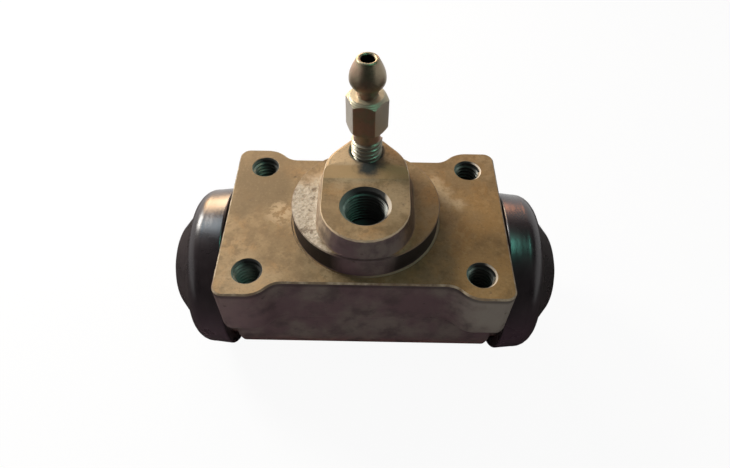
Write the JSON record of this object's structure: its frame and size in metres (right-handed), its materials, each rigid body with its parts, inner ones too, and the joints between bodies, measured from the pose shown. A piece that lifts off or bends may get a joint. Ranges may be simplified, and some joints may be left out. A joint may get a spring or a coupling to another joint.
{
  "type": "wheel cylinder",
  "caption": "Cast-iron drum-brake wheel cylinder with lobed bolt-on flange, pilot, inlet boss, bleed screw, opposed slotted pistons and rubber dust boots.",
  "frame": {"origin": "centre of the flange's mounting face, on the pilot's axis", "axes": "+Z out of the mounting face along the pilot, +X along the bore, inlet towards -Y and bleed screw towards +Y"},
  "size_m": [0.1062, 0.0494, 0.0852],
  "materials": {
    "oiled_cast_iron": "brown oiled casting with milled faces",
    "plated_steel": "yellow zinc plated and turned",
    "spring_steel": "drawn wire",
    "pressed_steel": "pressed and zinc plated",
    "seal_rubber": "moulded",
    "piston_metal": "turned",
    "boot_rubber": "moulded with a soft sheen"
  },
  "bodies": {
    "housing": {"cylinder_body": "oiled_cast_iron", "return_spring": "spring_steel", "left_boot": "boot_rubber", "right_boot": "boot_rubber"},
    "left_piston_set": {"left_piston": "piston_metal", "left_cup_seal": "seal_rubber", "left_spring_seat": "pressed_steel"},
    "right_piston_set": {"right_piston": "piston_metal", "right_cup_seal": "seal_rubber", "right_spring_seat": "pressed_steel"},
    "bleed_screw": {"bleed_screw": "plated_steel"}
  },
  "joints": [
    {"name": "left_piston_slide", "type": "slide", "parent": "housing", "child": "left_piston_set", "axis": [-1, 0, 0], "range_m": [-0.003, 0.005], "deforming": ["left_boot", "return_spring"]},
    {"name": "right_piston_slide", "type": "slide", "parent": "housing", "child": "right_piston_set", "axis": [1, 0, 0], "range_m": [-0.003, 0.005], "deforming": ["right_boot"]},
    {"name": "bleed_screw_turn", "type": "hinge", "parent": "housing", "child": "bleed_screw", "pos_m": [0, 0.0104, 0.0135], "axis": [0, 0, 1], "range_deg": [0, 360]}
  ]
}
